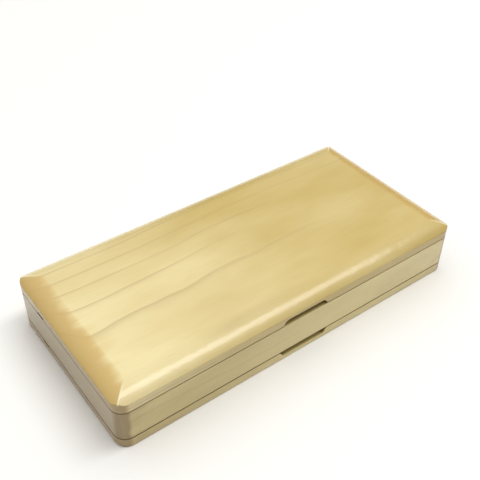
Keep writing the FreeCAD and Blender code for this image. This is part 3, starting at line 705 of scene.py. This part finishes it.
def make_rails():
    """A grooved ring with rounded corners, cut into four rails at the mitres."""
    bm = case_outline(FRAME_LOW, FRAME_HIGH)
    round_outline(bm, FRAME_LOW, RIM_ROUNDING, 3)
    round_outline(bm, FRAME_HIGH, RIM_ROUNDING, 3)
    ring = as_object("ring", bm)
    inside = block((WALL - HALF_LENGTH, WALL - HALF_DEPTH, FRAME_LOW - OVERLAP),
                   (HALF_LENGTH - WALL, HALF_DEPTH - WALL, FRAME_HIGH + OVERLAP))
    cutters = [inside, block(*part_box("divider_panel"))]
    cutters += mortises("upper", FRAME_HIGH, -1) + mortises("lower", FRAME_LOW, 1)
    cutters += magnet_sockets("upper_frame_magnets", FRAME_HIGH, -1)
    cutters += magnet_sockets("lower_frame_magnets", FRAME_LOW, 1)
    combine(ring, cutters, "DIFFERENCE")
    for name, out in (("front", (0, -1)), ("rear", (0, 1)), ("left", (-1, 0)), ("right", (1, 0))):
        rail = bmesh.new()
        rail.from_mesh(ring.data)
        outward = Vector((*out, 0))
        slice_off(rail, Vector(), -outward)
        sideways = Vector((out[1], out[0], 0))
        for side in (-1, 1):
            corner = outward + sideways * side
            point = Vector((corner.x * HALF_LENGTH, corner.y * HALF_DEPTH, 0))
            slice_off(rail, point, (sideways * side - outward).normalized())
        made = as_object(name + "_rail_maple", rail)
        shade(made)
        dress(made, rail_maple if out[1] else shaded_end_maple, "frame", "frame_maple", name + "_rail")
    spent = ring.data
    bpy.data.objects.remove(ring)
    bpy.data.meshes.remove(spent)


def make_tray(node, opens_up):
    """A thin moulded tray under flock: round wells, joined by lower gaps for the fingers."""
    low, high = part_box(node)
    tray = as_object(node + "_flocked", rounded_board(low, high, TRAY_RADIUS, 6))
    mouth = high.z if opens_up else low.z
    inwards = -1 if opens_up else 1
    depth = high.z - low.z - TRAY_FLOOR
    well_bottom, well_top = from_rim(mouth, inwards, depth)
    gap_bottom, gap_top = from_rim(mouth, inwards, depth * FINGER_GAP_SHARE)
    last = (WELL_COLUMNS - 1) / 2
    reach = WELL_PITCH * last
    cutters = []
    for side in (-1, 1):
        along = side * WELL_ROW_PITCH / 2
        for column in range(WELL_COLUMNS):
            across = WELL_PITCH * (column - last)
            well = upright_cylinder(across, along, well_bottom, well_top, WELL_RADIUS, WELL_RADIUS, 72)
            cutters.append(well)
        start = (-reach, along - FINGER_GAP / 2, gap_bottom)
        cutters.append(block(start, (reach, along + FINGER_GAP / 2, gap_top)))
    combine(tray, cutters, "DIFFERENCE")
    softened = tray.modifiers.new("flocked_edges", "BEVEL")
    softened.width = TRAY_ROUNDING
    softened.segments = 3
    softened.limit_method = "ANGLE"
    softened.angle_limit = math.radians(40)
    shade(tray)
    dress(tray, tray_flock, "frame", "tray_flock", node)


# Hardware

def countersink(across, along, rim, inwards, clearance):
    """A cone with its wide end on the rim."""
    low, high = sorted((rim, rim + inwards * SCREW_HEAD_HEIGHT))
    wide = SCREW_HEAD_RADIUS + clearance
    narrow = SCREW_SHANK_RADIUS
    low_radius, high_radius = (wide, narrow) if inwards > 0 else (narrow, wide)
    return upright_cylinder(across, along, low, high, low_radius, high_radius, 32)


def make_screw(name, across, along, rim, inwards):
    """A countersunk brass wood screw with a single slot, each stopped at its own angle."""
    screw = as_object(name, countersink(across, along, rim, inwards, 0.0))
    low, high = from_rim(rim, inwards, SCREW_HEAD_HEIGHT * 0.5)
    reach = SCREW_HEAD_RADIUS * 2
    slot = block((-reach, -SCREW_SLOT / 2, low), (reach, SCREW_SLOT / 2, high))
    stop = Matrix.Rotation(across * 700 + rim * 300, 4, "Z")
    bmesh.ops.transform(slot, matrix=Matrix.Translation((across, along, 0)) @ stop, verts=slot.verts)
    combine(screw, [slot], "DIFFERENCE")
    shade(screw)
    return screw


def knuckle(start, end, along, height, radius):
    """One rolled barrel of a hinge leaf, its ends slightly rounded."""
    barrel = lying_cylinder(start, end, along, height, radius, 40)
    round_edges(barrel, [edge for edge in barrel.edges if is_crease(edge)], KNUCKLE_ROUNDING, 2)
    return barrel


def screw_hole(across, along, rim, inwards):
    """The shank's hole through a leaf, and the seat of the screw's head."""
    low, high = from_rim(rim, inwards, LEAF_THICKNESS + OVERLAP)
    shank = upright_cylinder(across, along, low, high, SCREW_SHANK_RADIUS, SCREW_SHANK_RADIUS, 24)
    return [shank, countersink(across, along, rim, inwards, SOCKET_CLEARANCE)]


def make_leaf(level, where, on_lid):
    """One leaf of a butt hinge: a plate with countersunk holes, rolled into knuckles round the pin."""
    stem = "%s_%s" % (level, where)
    node = stem + ("_lid_leaf" if on_lid else "_frame_leaf")
    low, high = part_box(node)
    pin_low, pin_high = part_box(stem + "_hinge_pin")
    axis_along = (pin_low.y + pin_high.y) / 2
    axis_height = (pin_low.z + pin_high.z) / 2
    radius = high.y - axis_along
    middle = (low.x + high.x) / 2
    if level == "upper":
        rim = LID_RIM if on_lid else FRAME_HIGH
    else:
        rim = BASE_RIM if on_lid else FRAME_LOW
    inwards = 1 if (level == "upper") == on_lid else -1
    bottom, top = sorted((rim, rim + inwards * LEAF_THICKNESS))
    leaf = as_object(node + "_brass", block((low.x, low.y, bottom), (high.x, axis_along, top)))

    room = KNUCKLE_GAP / 2
    inner = [(middle - KNUCKLE_HALF, middle + KNUCKLE_HALF)]
    outer = [(low.x, middle - KNUCKLE_HALF), (middle + KNUCKLE_HALF, high.x)]
    own, other = (inner, outer) if on_lid else (outer, inner)
    knuckles = [knuckle(max(start + room, low.x), min(end - room, high.x), axis_along, axis_height, radius)
                for start, end in own]
    combine(leaf, knuckles, "UNION")

    cutters = []
    for start, end in other:
        near_corner = (start - room, axis_along - radius - KNUCKLE_GAP, axis_height - radius - OVERLAP)
        far_corner = (end + room, high.y + OVERLAP, axis_height + radius + OVERLAP)
        cutters.append(block(near_corner, far_corner))
    screws = []
    along = HALF_DEPTH - SCREW_INSET
    for end in (-1, 1):
        across = middle + end * SCREW_SPACING / 2
        screws.append(make_screw("%s_screw_%d" % (node, len(screws) + 1), across, along, rim, inwards))
        cutters += screw_hole(across, along, rim, inwards)
    combine(leaf, cutters, "DIFFERENCE")
    shade(leaf)
    body = level + "_lid" if on_lid else "frame"
    dress(leaf, brass, body, "hinge_brass", node)
    for screw in screws:
        dress(screw, brass, body, "hinge_brass")


def make_pin(level, where):
    """A steel pin, riveted over at both ends."""
    node = "%s_%s_hinge_pin" % (level, where)
    low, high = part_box(node)
    along = (low.y + high.y) / 2
    height = (low.z + high.z) / 2
    pin = as_object(node + "_steel", lying_cylinder(low.x, high.x, along, height, (high.y - low.y) / 2, 24))
    heads = []
    for start, end in ((low.x - PIN_HEAD_LENGTH, low.x + NEAR), (high.x - NEAR, high.x + PIN_HEAD_LENGTH)):
        head = lying_cylinder(start, end, along, height, PIN_HEAD_RADIUS, 24)
        tip = start if start < low.x else end
        rim = [edge for edge in head.edges if all(abs(corner.co.x - tip) < NEAR for corner in edge.verts)]
        round_edges(head, rim, PIN_HEAD_LENGTH * 0.7, 4)
        heads.append(head)
    combine(pin, heads, "UNION")
    shade(pin)
    dress(pin, steel, "frame", "pin_steel", node)


def make_magnets(node, body):
    """Two plated discs let into a rim, with slightly rounded edges."""
    low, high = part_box(node)
    radius, places = magnet_places(node)
    pair = bmesh.new()
    for across, along in places:
        middle = Matrix.Translation((across, along, (low.z + high.z) / 2))
        bmesh.ops.create_cone(pair, cap_ends=True, segments=40, radius1=radius, radius2=radius,
                              depth=high.z - low.z, matrix=middle)
    round_edges(pair, [edge for edge in pair.edges if is_crease(edge)], MAGNET_ROUNDING, 3)
    discs = as_object(node + "_nickel", pair)
    shade(discs)
    dress(discs, nickel, body, "magnet_nickel", node)


# Studio: camera, floor and soft lights

FLOOR_REACH = 8.0
CAMERA_PLACE = Vector((-0.19105, -0.24660, 0.29891))
CAMERA_AZIMUTH = math.radians(37.35)
CAMERA_ELEVATION = math.radians(39.84)
CAMERA_ROLL = math.radians(0.98)
CAMERA_LENS = 56.22


def make_camera():
    data = bpy.data.cameras.new("studio_camera")
    data.lens = CAMERA_LENS
    data.sensor_width = 36.0
    data.clip_start = 0.01
    data.clip_end = 20.0
    camera = bpy.data.objects.new("studio_camera", data)
    aim = Matrix.Rotation(-CAMERA_AZIMUTH, 4, "Z") @ Matrix.Rotation(math.pi / 2 - CAMERA_ELEVATION, 4, "X")
    camera.matrix_world = Matrix.Translation(CAMERA_PLACE) @ aim @ Matrix.Rotation(CAMERA_ROLL, 4, "Z")
    bpy.context.scene.collection.objects.link(camera)
    bpy.context.scene.camera = camera


def make_floor():
    bm = bmesh.new()
    bmesh.ops.create_grid(bm, x_segments=1, y_segments=1, size=FLOOR_REACH)
    floor = as_object("studio_floor", bm)
    material, tree = new_material("white_paper")
    shader = add(tree, "ShaderNodeBsdfPrincipled", {"Base Color": linear("#fbfbfb"), "Roughness": 0.9})
    add(tree, "ShaderNodeOutputMaterial", links={"Surface": (shader, 0)})
    floor.data.materials.append(material)


def make_light(name, place, size, power, colour):
    """A rectangular softbox aimed at the case, with its long side along X."""
    data = bpy.data.lights.new(name, "AREA")
    data.shape = "RECTANGLE"
    data.size, data.size_y = size
    data.energy = power
    data.color = linear(colour)[:3]
    light = bpy.data.objects.new(name, data)
    backwards = Vector(place).normalized()
    upwards = backwards.cross(Vector((1, 0, 0))).normalized()
    turned = Matrix((upwards.cross(backwards), upwards, backwards)).transposed()
    light.matrix_world = Matrix.Translation(place) @ turned.to_4x4()
    bpy.context.scene.collection.objects.link(light)


def make_sky():
    """A tent round the case: bright overhead and dim towards the horizon."""
    world = bpy.data.worlds.new("light_tent")
    world.use_nodes = True
    tree = world.node_tree
    tree.nodes.clear()
    direction = add(tree, "ShaderNodeTexCoord")
    height = add(tree, "ShaderNodeVectorMath", {1: (0.05, 0.3, 0.95)}, {0: (direction, "Generated")},
                 operation="DOT_PRODUCT")
    brightness = add(tree, "ShaderNodeMapRange",
                     {"From Min": 0.35, "From Max": 0.85, "To Min": 0.15, "To Max": 1.22},
                     {"Value": (height, "Value")}, interpolation_type="SMOOTHSTEP")
    glow = add(tree, "ShaderNodeBackground", {"Color": linear("#fdfcf8")}, {"Strength": (brightness, 0)})
    add(tree, "ShaderNodeOutputWorld", links={"Surface": (glow, 0)})
    bpy.context.scene.world = world


make_camera()
make_floor()
make_sky()
make_light("overhead_strip", (0.66, -0.36, 2.0), (1.5, 0.55), 17, "#fffdf9")
bpy.context.scene.view_settings.view_transform = "Standard"

make_upper_lid()
make_lower_lid()
make_lining("upper_lid_lining", "upper_lid")
make_lining("lower_lid_lining", "lower_lid")
make_rails()
make_tray("upper_tray", True)
make_tray("lower_tray", False)
for level in ("upper", "lower"):
    for where in ("left", "right"):
        make_leaf(level, where, True)
        make_leaf(level, where, False)
        make_pin(level, where)
    make_magnets(level + "_lid_magnets", level + "_lid")
    make_magnets(level + "_frame_magnets", "frame")
for panel_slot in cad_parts["divider_panel"].material_slots:
    panel_slot.material = plywood
